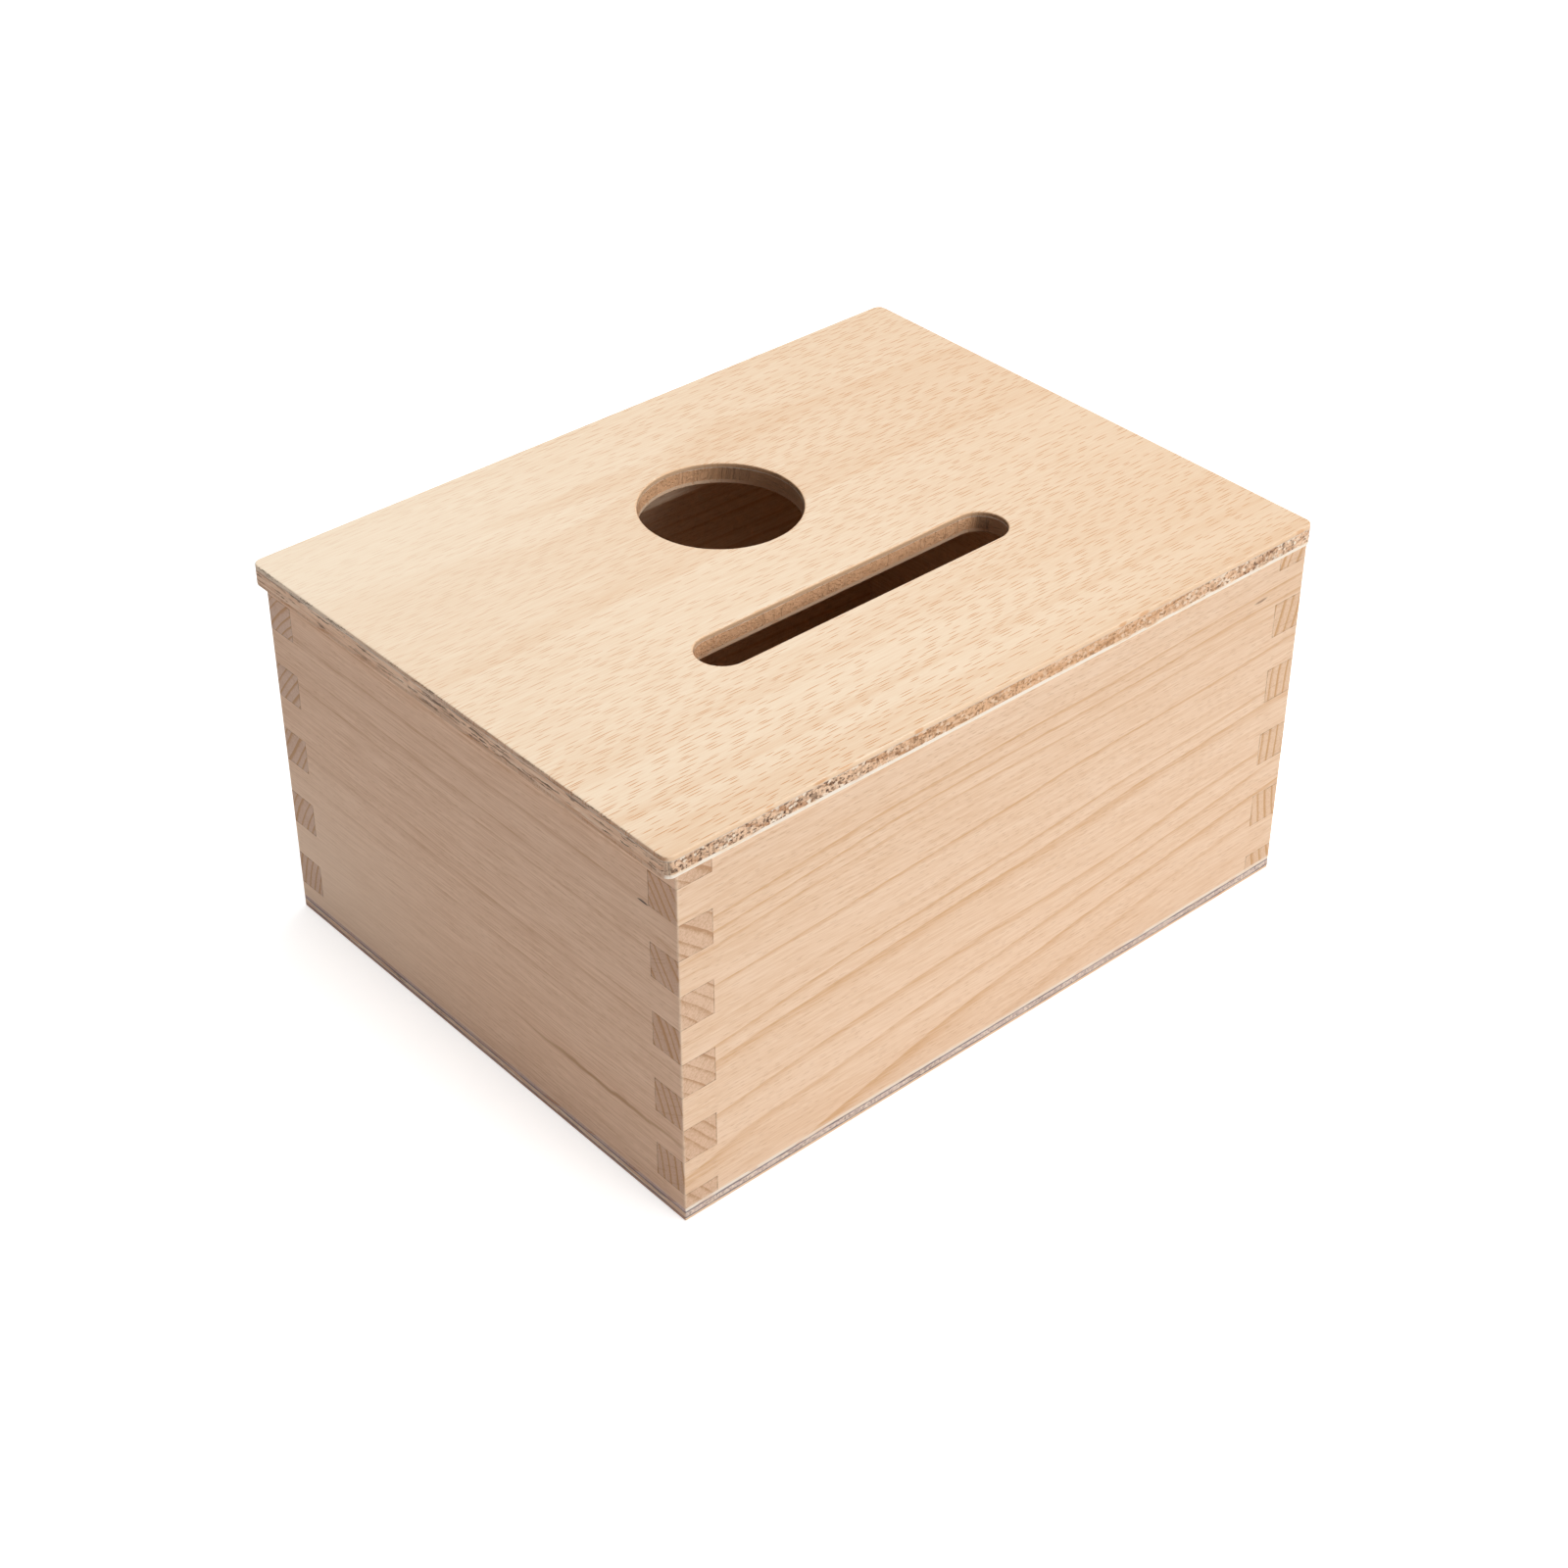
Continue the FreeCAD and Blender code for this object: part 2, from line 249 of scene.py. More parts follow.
def make_torn_pores():
    """Pits that a saw tears in a ply: long along its grain, ragged dots across it, crumbs between them."""
    group, nodes, given, result = new_group(
        "torn_pores",
        [("Point", "Vector", (0, 0, 0)), ("Size", "Vector", (12.0, 0.5, 0.6)), ("Share", "Float", 0.5)],
        [("Mask", "Float"), ("Crumb", "Float")],
    )
    ragged = nodes.wobble(given["Point"], scale=(0.3, 1.6, 1.6), reach=(0.0, 1.2, 1.2))
    cells = nodes.add("ShaderNodeTexVoronoi")
    nodes.feed(cells.inputs["Vector"], nodes.vector("DIVIDE", ragged, given["Size"]))
    nodes.feed(cells.inputs["Scale"], 1.0)
    pit = nodes.remap(cells.outputs["Distance"], 0.4, 0.7, 1.0, 0.0)
    rank, depth, crumb = nodes.parts(cells.outputs["Color"])
    present = nodes.remap(nodes.math("SUBTRACT", given["Share"], rank), 0.0, 0.1)
    pit = nodes.math("MULTIPLY", pit, nodes.remap(depth, 0.0, 1.0, 0.4, 1.0))
    pit = nodes.math("MULTIPLY", pit, present)
    nodes.feed(result["Mask"], pit)
    pale = nodes.math("MULTIPLY", nodes.math("SUBTRACT", 1.0, present), nodes.remap(crumb, 0.4, 0.9))
    nodes.feed(result["Crumb"], pale)
    return group


def make_worn_highlight_edge():
    """Mask along the edges of a box between two corners, broken up as handling wears them; it marks pale
    edges that are partly wear and partly painted highlight.
    """
    group, nodes, given, result = new_group(
        "worn_highlight_edge",
        [("Point", "Vector", (0, 0, 0)), ("Low", "Vector", (0, 0, 0)), ("High", "Vector", (1, 1, 1)),
         ("Reach", "Float", 1.0)],
        [("Mask", "Float")],
    )
    point = given["Point"]
    low_gap = nodes.vector("ABSOLUTE", nodes.vector("SUBTRACT", point, given["Low"]))
    high_gap = nodes.vector("ABSOLUTE", nodes.vector("SUBTRACT", point, given["High"]))
    x, y, z = nodes.parts(nodes.vector("MINIMUM", low_gap, high_gap))
    # An edge is where the second smallest of the three distances is small
    smaller = nodes.math("MINIMUM", x, y)
    larger = nodes.math("MAXIMUM", x, y)
    second = nodes.math("MAXIMUM", smaller, nodes.math("MINIMUM", larger, z))
    patchy = nodes.noise(point, scale=(0.18, 0.18, 0.18), detail=3.0)
    reach = nodes.math("MULTIPLY", given["Reach"], nodes.remap(patchy, 0.3, 0.7, 0.35, 1.3))
    nodes.feed(result["Mask"], nodes.remap(nodes.math("DIVIDE", second, reach), 0.3, 1.0, 1.0, 0.0))
    return group


def make_finger_joints():
    """Thin broken line round the cut end of each finger, with a small dark nick in its inner corners."""
    group, nodes, given, result = new_group(
        "finger_joints",
        [("Point", "Vector", (0, 0, 0)), ("Depth", "Float", 0.0), ("End Grain", "Float", 0.0)],
        [("Mask", "Float")],
    )
    _, _, height = nodes.parts(given["Point"])
    step = nodes.math("DIVIDE", nodes.math("SUBTRACT", height, FIRST_JOINT), FINGER_HEIGHT)
    step = nodes.math("SUBTRACT", nodes.math("FRACT", nodes.math("ADD", step, 0.5)), 0.5)
    step = nodes.math("ABSOLUTE", step)
    seam = nodes.math("MULTIPLY", step, FINGER_HEIGHT)
    inner = nodes.math("ABSOLUTE", given["Depth"])
    line = nodes.remap(nodes.math("MINIMUM", seam, inner), 0.1, 0.38, 1.0, 0.0)
    patchy = nodes.noise(given["Point"], scale=(0.4, 0.4, 0.4))
    line = nodes.math("MULTIPLY", line, nodes.remap(patchy, 0.35, 0.65, 0.15, 0.75))
    nick = nodes.remap(nodes.vector("LENGTH", nodes.join(seam, inner, 0.0)), 0.2, 0.8, 1.0, 0.0)
    nick = nodes.math("MULTIPLY", nick, nodes.remap(patchy, 0.42, 0.6))
    darker = nodes.math("MAXIMUM", line, nick)
    nodes.feed(result["Mask"], nodes.math("MULTIPLY", darker, given["End Grain"]))
    return group


def make_glue_line():
    """Thin uneven line on the edge of a sheet, at the height where two plies are glued."""
    group, nodes, given, result = new_group(
        "glue_line",
        [("Point", "Vector", (0, 0, 0)), ("Facing", "Vector", (0, 0, 1)), ("Level", "Float", 0.0),
         ("Width", "Float", 0.3)],
        [("Mask", "Float")],
    )
    _, _, height = nodes.parts(given["Point"])
    _, _, upward = nodes.parts(given["Facing"])
    wave = nodes.noise(given["Point"], scale=(0.12, 0.12, 0.0), detail=3.0)
    gap = nodes.math("ABSOLUTE", nodes.math("SUBTRACT", height, given["Level"]))
    reach = nodes.math("MULTIPLY", given["Width"], nodes.remap(wave, 0.3, 0.7, 0.5, 1.3))
    line = nodes.remap(nodes.math("DIVIDE", gap, reach), 0.4, 1.0, 1.0, 0.0)
    side = nodes.remap(nodes.math("ABSOLUTE", upward), 0.5, 0.8, 1.0, 0.0)
    nodes.feed(result["Mask"], nodes.math("MULTIPLY", line, side))
    return group


def make_cut_rim():
    """Mask round the coin hole and the slot: the brown fuzz that a router leaves along its cut."""
    group, nodes, given, result = new_group(
        "cut_rim", [("Point", "Vector", (0, 0, 0)), ("Reach", "Float", 0.8)], [("Mask", "Float")])
    flat = nodes.vector("MULTIPLY", given["Point"], (1.0, 1.0, 0.0))
    hole_centre = (COIN_HOLE_CENTRE.x, COIN_HOLE_CENTRE.y, 0.0)
    from_hole = nodes.vector("LENGTH", nodes.vector("SUBTRACT", flat, hole_centre))
    from_hole = nodes.math("ABSOLUTE", nodes.math("SUBTRACT", from_hole, COIN_HOLE_RADIUS))
    slot_centre = (SLOT_CENTRE.x, SLOT_CENTRE.y, 0.0)
    x, y, _ = nodes.parts(nodes.vector("SUBTRACT", flat, slot_centre))
    straight = (SLOT_LENGTH - SLOT_WIDTH) / 2
    past_end = nodes.math("MAXIMUM", nodes.math("SUBTRACT", nodes.math("ABSOLUTE", x), straight), 0.0)
    from_slot = nodes.vector("LENGTH", nodes.join(past_end, y, 0.0))
    from_slot = nodes.math("ABSOLUTE", nodes.math("SUBTRACT", from_slot, SLOT_WIDTH / 2))
    gap = nodes.math("MINIMUM", from_hole, from_slot)
    fuzz = nodes.noise(given["Point"], scale=(0.9, 2.2, 2.2), detail=3.0)
    reach = nodes.math("MULTIPLY", given["Reach"], nodes.remap(fuzz, 0.3, 0.7, 0.3, 1.4))
    nodes.feed(result["Mask"], nodes.remap(nodes.math("DIVIDE", gap, reach), 0.2, 1.0, 1.0, 0.0))
    return group


def make_streak_mark():
    """Mask of one streak or nick at a given place, ragged along its edges."""
    group, nodes, given, result = new_group(
        "streak_mark",
        [("Point", "Vector", (0, 0, 0)), ("Centre", "Vector", (0, 0, 0)),
         ("Half Size", "Vector", (1, 1, 1)), ("Softness", "Float", 0.6)],
        [("Mask", "Float")],
    )
    ragged = nodes.wobble(given["Point"], scale=(0.09, 0.09, 0.09), reach=(0.0, 0.0, 3.0))
    away = nodes.vector("SUBTRACT", ragged, given["Centre"])
    reach = nodes.vector("LENGTH", nodes.vector("DIVIDE", away, given["Half Size"]))
    start = nodes.math("SUBTRACT", 1.0, given["Softness"])
    nodes.feed(result["Mask"], nodes.remap(reach, start, 1.0, 1.0, 0.0))
    return group


BEECH_GRAIN = make_beech_grain()
TORN_PORES = make_torn_pores()
WORN_HIGHLIGHT_EDGE = make_worn_highlight_edge()
FINGER_JOINTS = make_finger_joints()
GLUE_LINE = make_glue_line()
CUT_RIM = make_cut_rim()
STREAK_MARK = make_streak_mark()

GRAIN_AXIS = {"x": (1, 0, 0), "y": (0, 1, 0)}

# Colours of stains, glue and wear, and of painted shade, painted highlight and painted bounce light
# Pale for edges, partly wear and partly painted highlight
WORN_HIGHLIGHT_PALE = (0.95, 0.78, 0.6)
JOINT_BROWN = (0.2, 0.1, 0.05)
GLUE_GREY = (0.20, 0.16, 0.18)
GLUE_PALE = (0.95, 0.86, 0.74)
CUT_TAN = (0.86, 0.55, 0.32)
CORE_TAN = (1.0, 0.58, 0.32)
CORE_ORANGE = (0.76, 0.40, 0.18)
# Painted shade on the right-hand sides of the openings
PAINTED_SHADE_BROWN = (0.20, 0.09, 0.04)
PIT_BROWN = (0.09, 0.04, 0.02)
PIT_GREY = (0.16, 0.11, 0.09)
CRUMB_PALE = (1.0, 0.86, 0.70)
WARM_TAN = (0.80, 0.52, 0.31)
VENEER_CREAM = (1.0, 0.86, 0.68)
VENEER_WHITE = (0.98, 0.90, 0.79)
# Painted bounce light, low on the left wall's far end
BOUNCE_LIGHT_CREAM = (1.0, 0.76, 0.57)
# Painted shade inside the box, on the bottom's upper face
INSIDE_SHADE_TAN = (0.86, 0.50, 0.22)


def grain_place(board, grain, pith, lean, seed):
    """Turn and shift that lay a board's grain along x with the board straight above its pith.

    The pith is given as (across, height) at the board's middle, and lean tilts it in plan against the board.
    """
    low, high = box_of(board)
    across, height = pith
    heart = Vector((0, across, height)) if grain == "x" else Vector((across, 0, height))
    turn = Matrix.Rotation(lean if grain == "x" else lean - math.pi / 2, 3, "Z")
    outward = turn @ ((low + high) / 2 - heart)
    turn = Matrix.Rotation(math.atan2(outward.y, outward.z), 3, "X") @ turn
    return turn.to_euler("XYZ"), Vector((seed, 0, 0)) - turn @ heart


class Wood(Nodes):
    """A wood material in the making; each effect adds to its colour, and some to its height."""

    def __init__(self, name, board, grain, pith, seed, lean=0.0, **grain_values):
        self.material = bpy.data.materials.new(name)
        self.material.use_nodes = True
        super().__init__(self.material.node_tree)
        self.board = board
        coordinates = self.add("ShaderNodeTexCoord")
        self.facing = coordinates.outputs["Normal"]
        self.point = self.vector("MULTIPLY", coordinates.outputs["Object"], (1 / MM, 1 / MM, 1 / MM))
        mapping = self.add("ShaderNodeMapping")
        turn, shift = grain_place(board, grain, pith, lean, seed)
        self.feed(mapping.inputs["Vector"], self.point)
        self.feed(mapping.inputs["Rotation"], turn)
        self.feed(mapping.inputs["Location"], shift)
        self.grain_point = mapping.outputs["Vector"]
        self.beech = self.effect(
            BEECH_GRAIN, point=self.grain_point, facing=self.facing, grain_axis=GRAIN_AXIS[grain],
            **grain_values)
        self.colour = self.beech.outputs["Color"]
        self.roughness = self.beech.outputs["Roughness"]
        self.height = self.beech.outputs["Height"]

    def effect(self, group, **values):
        """Place a node group, with its inputs given by their names in small letters."""
        node = self.add("ShaderNodeGroup", node_tree=group)
        for name, value in values.items():
            self.feed(node.inputs[name.replace("_", " ").title()], value)
        return node

    def stain(self, mask, colour, strength, depth=0.0):
        """Colour the masked places, and sink them by a depth in the bump's own units."""
        self.colour = self.mix(self.math("MULTIPLY", mask, strength), self.colour, (*colour, 1))
        if depth:
            self.height = self.math("MULTIPLY_ADD", mask, -depth, self.height)

    def wear_and_highlight_edges(self, low, high, reach=0.8, colour=WORN_HIGHLIGHT_PALE, strength=0.25):
        """Lighten the edges of the box between two corners, partly as wear and partly as painted highlight.
        """
        worn_and_highlit = self.effect(WORN_HIGHLIGHT_EDGE, point=self.point, low=low, high=high, reach=reach)
        self.stain(worn_and_highlit.outputs["Mask"], colour, strength)

    def mark(self, centre, half_size, colour, strength, softness=0.6, depth=0.0):
        """One streak or nick at its own place."""
        streak = self.effect(
            STREAK_MARK, point=self.point, centre=centre, half_size=half_size, softness=softness)
        self.stain(streak.outputs["Mask"], colour, strength, depth)

    def tear(self, size, share, colour, strength, crumbs):
        """Tear dark pits of a given size out of the wood, and leave pale crumbs between them."""
        pores = self.effect(TORN_PORES, point=self.grain_point, size=size, share=share)
        self.stain(pores.outputs["Crumb"], CRUMB_PALE, crumbs)
        self.stain(pores.outputs["Mask"], colour, strength, depth=1.0)

    def glue(self, level, colour, strength, width):
        """A glue line round the edge of a sheet at a given height."""
        line = self.effect(GLUE_LINE, point=self.point, facing=self.facing, level=level, width=width)
        self.stain(line.outputs["Mask"], colour, strength, depth=0.4)

    def brown_rim_and_paint_shade(self, reach, colour, strength, painted_shade):
        """Brown the cuts of the openings, and darken their right-hand sides with painted shade."""
        rim = self.effect(CUT_RIM, point=self.point, reach=reach)
        self.stain(rim.outputs["Mask"], colour, strength)
        # Painted shade: the faces turned to the left, the openings' right-hand sides, are darkened
        sideways, _, _ = self.parts(self.facing)
        painted_shade_mask = self.math("MULTIPLY", rim.outputs["Mask"], self.remap(sideways, -0.1, -0.95))
        self.stain(painted_shade_mask, PAINTED_SHADE_BROWN, painted_shade)

    def finish(self, bump=0.05):
        """Connect the finished values to the shader and give the material to the board."""
        shader = self.tree.nodes["Principled BSDF"]
        relief = self.add("ShaderNodeBump")
        relief.inputs["Strength"].default_value = 1.0
        relief.inputs["Distance"].default_value = bump * MM
        self.feed(relief.inputs["Height"], self.height)
        self.feed(shader.inputs["Base Color"], self.colour)
        self.feed(shader.inputs["Roughness"], self.roughness)
        self.feed(shader.inputs["Normal"], relief.outputs["Normal"])
        shader.inputs["Specular IOR Level"].default_value = 0.3
        mesh = NODES[self.board].data
        mesh.materials.clear()
        mesh.materials.append(self.material)


WALL_GRAIN = dict(
    pale=(0.90, 0.66, 0.475, 1), tan=(0.70, 0.41, 0.21, 1), fleck_colour=(0.58, 0.32, 0.16, 1),
    ring_strength=0.6, streak_strength=0.5, fibre_strength=1.5, fleck_spacing=(3.6, 0.8, 5.0),
    fleck_width=0.26, fleck_share=0.6, fleck_strength=0.4)
# The left wall's palette: the wall palette made darker and redder, as painted shade on the side turned away
# from the lamps
SHADED_LEFT_GRAIN = dict(
    WALL_GRAIN, pale=(0.87, 0.585, 0.41, 1), tan=(0.59, 0.325, 0.18, 1), ring_strength=0.4,
    fibre_strength=1.8)

# Single marks on the boards, placed in millimetres
FRONT_FLAW = dict(
    centre=(87, -79.5, 92), half_size=(3.0, 4.0, 0.5), colour=(0.25, 0.13, 0.07), strength=0.75)
LEFT_STREAK = dict(
    centre=(-103, -50, 23), half_size=(4.0, 46.0, 1.2), colour=(0.42, 0.20, 0.08), strength=0.75,
    softness=0.85)
LEFT_NICK = dict(
    centre=(-103, -67.6, 88.5), half_size=(2.0, 2.2, 0.35), colour=(0.08, 0.05, 0.04), strength=0.95,
    softness=0.4, depth=3.0)


def start_wall(board, grain, end_tint, look=WALL_GRAIN, **place):
    """A solid board with its finger joints and pale edges, partly wear and partly painted highlight; the end
    tint colours its cut fingers.
    """
    wall = Wood(f"{board}_beech", board, grain, end_tint=(*end_tint, 1), **place, **look)
    x, y, _ = wall.parts(wall.point)
    reach = WALLS_HIGH.y if grain == "x" else WALLS_HIGH.x
    across = wall.math("ABSOLUTE", y if grain == "x" else x)
    depth = wall.math("SUBTRACT", across, reach - WALL_THICKNESS)
    joints = wall.effect(
        FINGER_JOINTS, point=wall.point, depth=depth, end_grain=wall.beech.outputs["End Grain"])
    wall.stain(joints.outputs["Mask"], JOINT_BROWN, strength=0.7, depth=1.5)
    wall.wear_and_highlight_edges(WALLS_LOW, WALLS_HIGH)
    return wall


def dress_walls():
    """Four boards, each cut from its own place in a tree; the left one has a darker, redder palette as
    painted shade, and is paler low down at its far end as painted bounce light.
    """
    front = start_wall(
        "front_wall", "x", end_tint=(0.79, 0.71, 0.71), pith=(75, -20), lean=0.036, seed=0,
        ring_width=2.6)
    front.mark(**FRONT_FLAW)
    front.finish()

    # The left wall takes the darker, redder palette of painted shade
    left = start_wall(
        "left_wall", "y", end_tint=(0.90, 0.92, 0.91), look=SHADED_LEFT_GRAIN, pith=(-318, -170), seed=800,
        ring_width=3.3)
    # Painted bounce light: the left wall is made paler low down towards its far end
    _, y, z = left.parts(left.point)
    painted_bounce_far_low = left.math("MULTIPLY", left.remap(y, -20.0, 75.0), left.remap(z, 70.0, 15.0))
    left.stain(painted_bounce_far_low, BOUNCE_LIGHT_CREAM, strength=0.5)
    left.mark(**LEFT_STREAK)
    left.mark(**LEFT_NICK)
    left.finish()

    back = start_wall(
        "back_wall", "x", end_tint=(0.84, 0.81, 0.88), pith=(-45, -25), lean=0.012, seed=400,
        ring_width=2.3)
    back.finish()

    right = start_wall(
        "right_wall", "y", end_tint=(0.92, 0.89, 0.86), pith=(260, 45), lean=0.01, seed=1200,
        ring_width=3.0)
    right.finish()


VENEER_GRAIN = dict(
    pale=(0.97, 0.80, 0.605, 1), tan=(0.80, 0.51, 0.30, 1), fleck_colour=(0.66, 0.29, 0.10, 1),
    end_tint=(0.74, 0.61, 0.57, 1), ring_strength=0.3, fibre_strength=1.3,
    fleck_spacing=(7.4, 0.95, 9.0), fleck_width=0.33, fleck_share=0.9)


def dress_lid_top():
    """The pale upper veneer: darker dashes towards the front edge and the right, frayed cut ends."""
    top = Wood(
        "lid_top_veneer", "lid_top_ply", "x", pith=(30, 400), seed=1600, ring_width=5.0, **VENEER_GRAIN)
    x, y, _ = top.parts(top.point)
    towards_front = top.remap(y, -5.0, LID_LOW.y)
    towards_right = top.remap(x, -30.0, LID_HIGH.x)
    bold = top.math("MAXIMUM", towards_front, towards_right)
    top.feed(top.beech.inputs["Fleck Strength"], top.math("MULTIPLY_ADD", bold, 0.42, 0.55))
    top.feed(top.beech.inputs["Streak Strength"], top.math("MULTIPLY_ADD", towards_front, 1.3, 0.2))
    warm = top.math("MULTIPLY_ADD", towards_right, 0.7, top.math("MULTIPLY", towards_front, 0.4))
    top.stain(warm, WARM_TAN, strength=0.42)
    far_left = top.math("MULTIPLY", top.remap(x, 20.0, LID_LOW.x), top.remap(y, -30.0, LID_HIGH.y))
    top.stain(far_left, VENEER_CREAM, strength=0.6)
    _, forward, _ = top.parts(top.facing)
    top.stain(top.remap(forward, -0.5, -0.9), CUT_TAN, strength=0.4)
    # Brown rim of the cuts, with painted shade on their right-hand sides
    top.brown_rim_and_paint_shade(reach=0.6, colour=CUT_TAN, strength=0.7, painted_shade=0.45)
    # Pale edges, partly wear and partly painted highlight
    top.wear_and_highlight_edges(LID_LOW, LID_HIGH, reach=0.6, strength=0.15)
    frayed = top.math("MULTIPLY", top.beech.outputs["End Grain"], 0.65)
    frayed = top.effect(TORN_PORES, point=top.grain_point, size=(6.0, 5.0, 0.35), share=frayed)
    top.stain(frayed.outputs["Mask"], PIT_BROWN, strength=0.65, depth=0.5)
    top.glue(LID_CORE_TOP, GLUE_GREY, strength=0.2, width=0.2)
    top.finish(bump=0.025)


def dress_lid_core():
    """The core runs across the lid: crumbs and pits on its cut long edges, long pits on the others."""
    core = Wood(
        "lid_core_veneer", "lid_core_ply", "y", pith=(20, 350), seed=2400, ring_width=4.0,
        pale=(0.93, 0.61, 0.41, 1), tan=(0.50, 0.24, 0.12, 1), end_tint=(1.03, 1.09, 1.10, 1),
        ring_strength=0.3, streak_strength=0.8, fibre_strength=2.2, fleck_strength=0.0)
    x, _, _ = core.parts(core.point)
    cut_end = core.beech.outputs["End Grain"]
    torn = core.math("MULTIPLY", core.remap(x, -75.0, 40.0, 1.0, 0.0), cut_end)
    share = core.math("MULTIPLY_ADD", torn, 0.12, core.math("MULTIPLY_ADD", cut_end, 0.16, 0.42))
    width = core.math("MULTIPLY_ADD", cut_end, 0.3, 0.65)
    size = core.join(PIT_LENGTH, width, core.math("MULTIPLY", width, 0.64))
    crumbs = core.math("MULTIPLY_ADD", cut_end, 0.6, 0.25)
    core.tear(size, share, PIT_BROWN, core.math("MULTIPLY_ADD", torn, 0.1, 0.85), crumbs)
    orange = core.math("MULTIPLY", core.remap(x, -70.0, -10.0), core.remap(x, 95.0, 30.0))
    core.stain(core.math("MULTIPLY", orange, cut_end), CORE_ORANGE, strength=0.5)
    # Brown rim of the cuts, with painted shade on their right-hand sides
    core.brown_rim_and_paint_shade(reach=0.5, colour=CORE_TAN, strength=0.8, painted_shade=0.75)
    core.glue(LID_CORE_TOP, GLUE_PALE, strength=0.6, width=0.25)
    core.finish(bump=0.22)


def dress_lid_under():
    """The lower veneer, nearly white along its long edges."""
    under = Wood(
        "lid_under_veneer", "lid_lower_ply", "x", pith=(-40, -240), seed=2000, ring_width=5.0,
        streak_strength=0.6, fleck_strength=0.45, **VENEER_GRAIN)
    # Brown rim of the cuts, with painted shade on their right-hand sides
    under.brown_rim_and_paint_shade(reach=0.5, colour=CORE_TAN, strength=0.3, painted_shade=0.65)
    past_ends = Vector((20, 0, 0))
    under.wear_and_highlight_edges(
        LID_LOW - past_ends, LID_HIGH + past_ends, reach=2.2, colour=VENEER_WHITE, strength=0.8)
    under.finish()


def dress_floor():
    """The bottom's plies: pale faces along the box, darker and warmer on its upper face inside the box as
    painted shade, and a greyish core across it.
    """
    face = dict(
        VENEER_GRAIN, pale=(0.94, 0.84, 0.74, 1), end_tint=(0.71, 0.59, 0.63, 1), streak_strength=0.6,
        fleck_strength=0.35)
    upper = Wood(
        "floor_upper_veneer", "floor_upper_ply", "x", pith=(40, 260), seed=2800, ring_width=5.0, **face)
    _, _, upward = upper.parts(upper.facing)
    # Painted shade: the upper face, inside the box, is made darker and warmer
    upper.stain(upper.remap(upward, 0.5, 0.9), INSIDE_SHADE_TAN, strength=0.6)
    upper.glue(FLOOR_CORE_HIGH.z, GLUE_GREY, strength=0.8, width=0.3)
    upper.finish()

    lower = Wood(
        "floor_lower_veneer", "floor_lower_ply", "x", pith=(-30, -280), seed=3200, ring_width=5.0,
        **dict(face, pale=(0.92, 0.70, 0.50, 1)))
    # Pale edges, partly wear and partly painted highlight
    lower.wear_and_highlight_edges(FLOOR_LOW, FLOOR_HIGH, reach=0.7)
    lower.glue(FLOOR_CORE_LOW.z, GLUE_GREY, strength=0.7, width=0.25)
    lower.finish()

    core = Wood(
        "floor_core_veneer", "floor_core_ply", "y", pith=(10, 300), seed=3600, ring_width=4.0,
        pale=(0.86, 0.58, 0.41, 1), tan=(0.60, 0.37, 0.24, 1), end_tint=(0.85, 0.99, 1.26, 1),
        ring_strength=0.3, streak_strength=0.6, fibre_strength=1.6, fleck_strength=0.0)
    core.tear(size=(PIT_LENGTH, 0.5, 0.4), share=0.18, colour=PIT_GREY, strength=0.5, crumbs=0.6)
    for level in (FLOOR_CORE_LOW.z, FLOOR_CORE_HIGH.z):
        core.glue(level, GLUE_GREY, strength=0.9, width=0.35)
    core.finish(bump=0.15)


BATTEN_GRAIN = dict(WALL_GRAIN, pale=(0.95, 0.74, 0.56, 1), end_tint=(0.85, 0.80, 0.78, 1))


def dress_battens():
    """The two strips under the lid."""
    for board, pith, seed in (("lid_batten_front", (10, 85), 4000), ("lid_batten_back", (150, 80), 4400)):
        batten = Wood(f"{board}_beech", board, "x", pith=pith, seed=seed, ring_width=2.6, **BATTEN_GRAIN)
        # Pale edges, partly wear and partly painted highlight
        batten.wear_and_highlight_edges(*box_of(board))
        batten.finish()


# Studio: the floor's size and the range over which its glow grows, in metres, and strengths of glow and fill
STUDIO_FLOOR_SIZE = 12.0
GLOW_RANGE = (0.25, 1.2)
GLOW_NEAR_BOX = 0.62
GLOW_FAR_OFF = 0.85
FLOOR_FILL = 0.12
SKY_FILL = 0.2

# Square lamps: name, place and side in metres, power in watts
LAMPS_AIM = (0, 0, 0.05)
LAMPS = (
    ("key_softbox", (0.6, -1.29, 0.93), 1.3, 5.2),
    ("low_softbox", (0.1, -1.6, 0.65), 0.6, 6.5),
    ("top_softbox", (0.25, 0.0, 1.6), 0.9, 15.8),
)


def white_to_camera(nodes, other):
    """Strength that is 1 where seen, mirrored or seen through, and another value as light on the object."""
    path = nodes.add("ShaderNodeLightPath")
    seen = nodes.math("MAXIMUM", path.outputs["Is Camera Ray"], path.outputs["Is Glossy Ray"])
    seen = nodes.math("MAXIMUM", seen, path.outputs["Is Transmission Ray"])
    return nodes.remap(seen, 0.0, 1.0, other, 1.0)


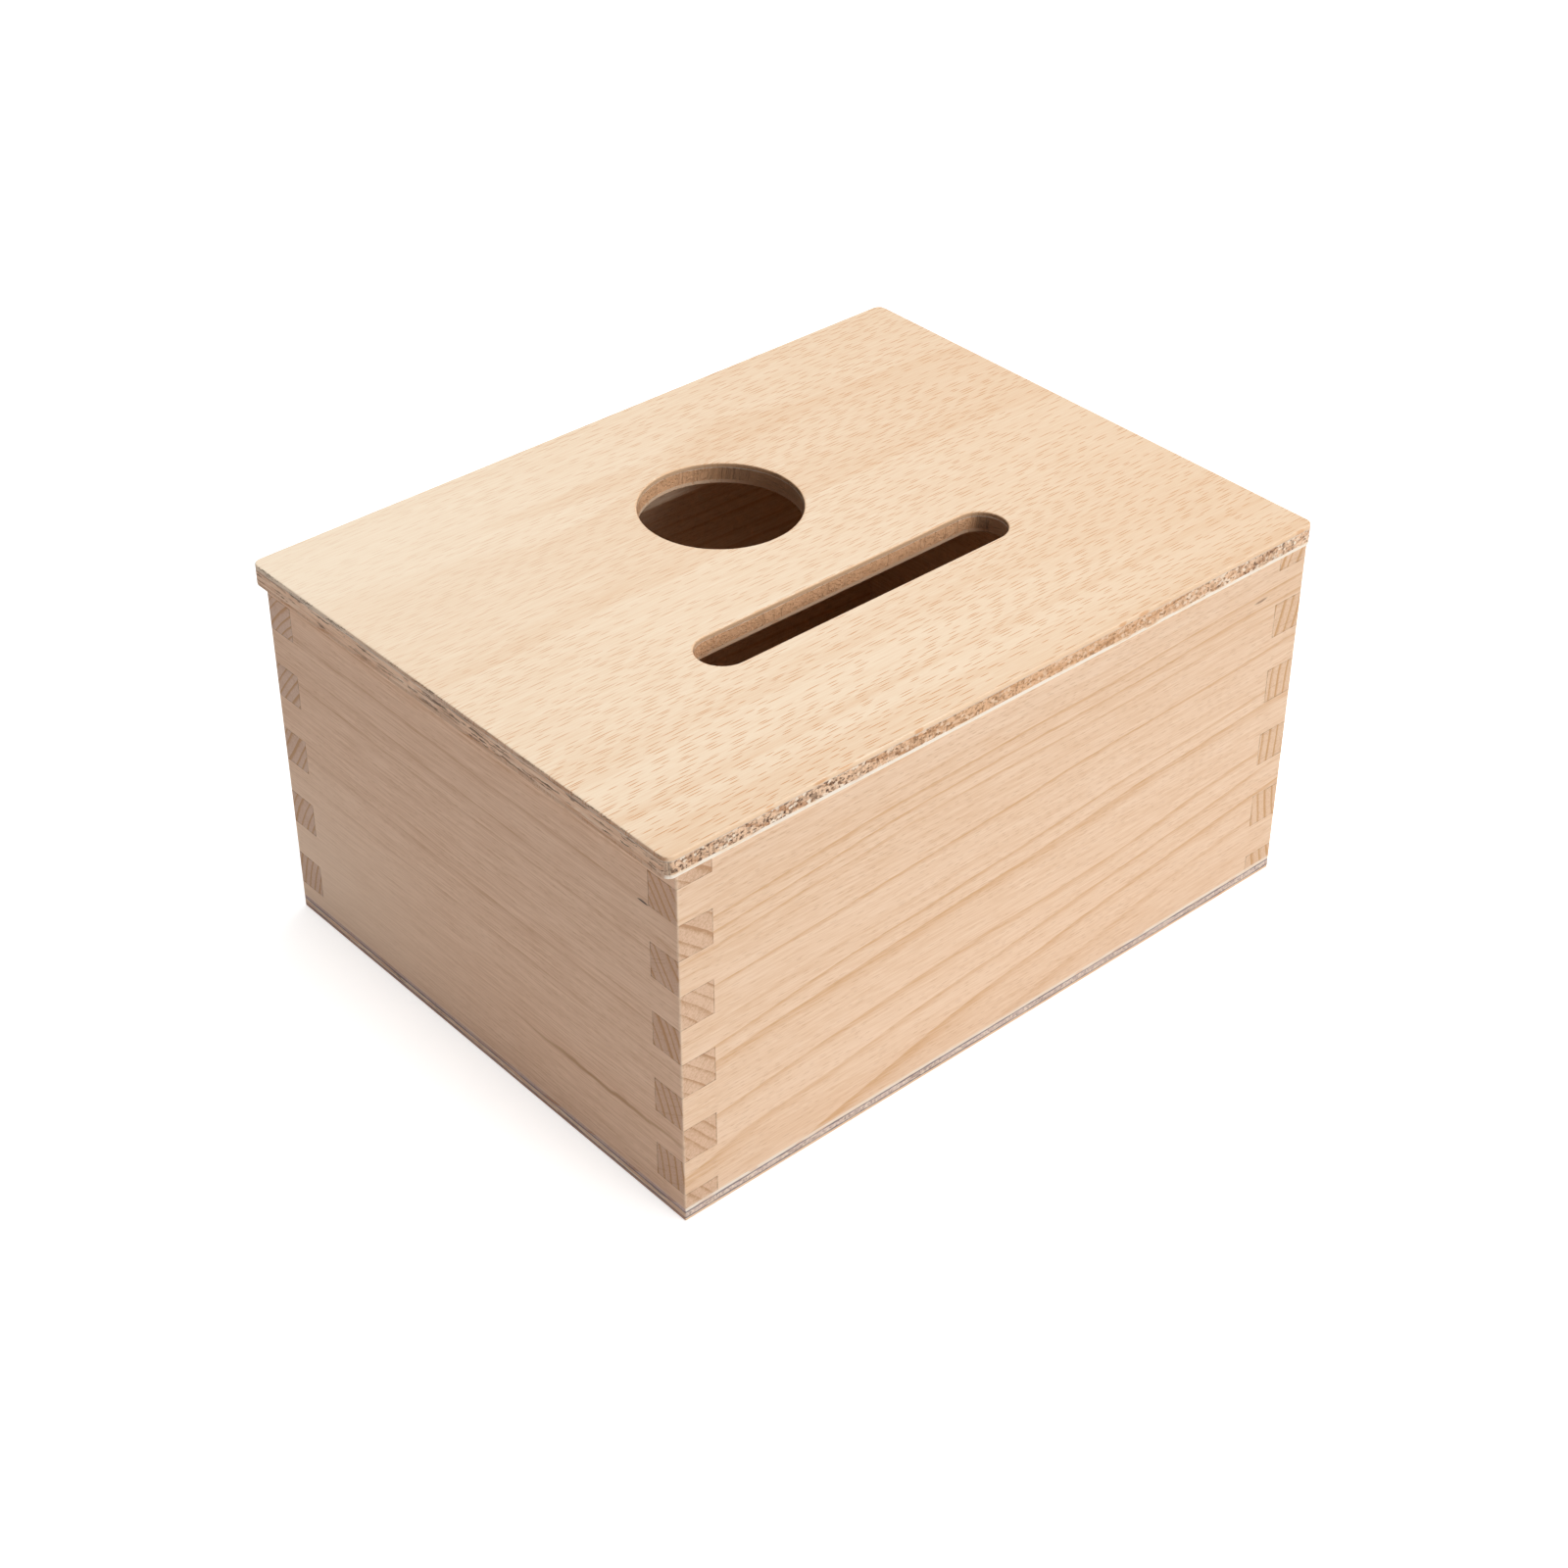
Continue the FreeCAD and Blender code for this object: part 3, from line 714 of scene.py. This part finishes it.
def make_floor():
    """A large pale floor that glows a little: less round the box, so that its soft shadow stays."""
    bpy.ops.object.select_all(action="DESELECT")
    bpy.ops.mesh.primitive_plane_add(size=STUDIO_FLOOR_SIZE)
    floor = bpy.context.object
    floor.name = "studio_floor"
    material = bpy.data.materials.new("pale_floor")
    material.use_nodes = True
    nodes = Nodes(material.node_tree)
    shader = material.node_tree.nodes["Principled BSDF"]
    shader.inputs["Base Color"].default_value = (0.9, 0.9, 0.9, 1)
    shader.inputs["Roughness"].default_value = 0.9
    shader.inputs["Specular IOR Level"].default_value = 0.1
    from_box = nodes.vector("LENGTH", nodes.add("ShaderNodeTexCoord").outputs["Object"])
    glow = nodes.remap(from_box, *GLOW_RANGE, GLOW_NEAR_BOX, GLOW_FAR_OFF)
    nodes.feed(shader.inputs["Emission Color"], glow)
    nodes.feed(shader.inputs["Emission Strength"], white_to_camera(nodes, FLOOR_FILL))
    floor.data.materials.append(material)


def make_world():
    """Even fill light; the camera sees plain white behind the floor."""
    world = bpy.data.worlds.new("studio")
    bpy.context.scene.world = world
    world.use_nodes = True
    nodes = Nodes(world.node_tree)
    background = world.node_tree.nodes["Background"]
    background.inputs["Color"].default_value = (1, 1, 1, 1)
    nodes.feed(background.inputs["Strength"], white_to_camera(nodes, SKY_FILL))


def add_softbox(name, position, side, power):
    """A square area lamp turned towards the box."""
    lamp = bpy.data.lights.new(name, "AREA")
    lamp.shape = "SQUARE"
    lamp.size = side
    lamp.energy = power
    holder = bpy.data.objects.new(name, lamp)
    holder.location = position
    holder.rotation_euler = (Vector(LAMPS_AIM) - Vector(position)).to_track_quat("-Z", "Y").to_euler()
    bpy.context.scene.collection.objects.link(holder)


def make_lights():
    """A key from the front right, a low lamp that reaches into the coin hole, and a soft lamp overhead."""
    for lamp in LAMPS:
        add_softbox(*lamp)


# The photograph's viewing angle, with the lens that gives the same spread of the lid's edges
CAMERA_AZIMUTH = math.radians(-41.35)
CAMERA_ELEVATION = math.radians(36.0)
CAMERA_DISTANCE = 0.7596
CAMERA_AIM = Vector((-0.0013, 0.0012, 0.0339))
CAMERA_LENS = 66.27


def make_camera():
    """A plain camera with no shift, aimed at the box."""
    camera = bpy.data.cameras.new("camera")
    camera.sensor_width = 36.0
    camera.lens = CAMERA_LENS
    holder = bpy.data.objects.new("camera", camera)
    back = Vector((
        math.sin(CAMERA_AZIMUTH) * math.cos(CAMERA_ELEVATION),
        -math.cos(CAMERA_AZIMUTH) * math.cos(CAMERA_ELEVATION),
        math.sin(CAMERA_ELEVATION),
    ))
    holder.location = CAMERA_AIM + back * CAMERA_DISTANCE
    holder.rotation_euler = (-back).to_track_quat("-Z", "Y").to_euler()
    bpy.context.scene.collection.objects.link(holder)
    bpy.context.scene.camera = holder


dress_walls()
dress_lid_top()
dress_lid_core()
dress_lid_under()
dress_floor()
dress_battens()
make_floor()
make_world()
make_lights()
make_camera()
bpy.context.scene.view_settings.view_transform = "Standard"
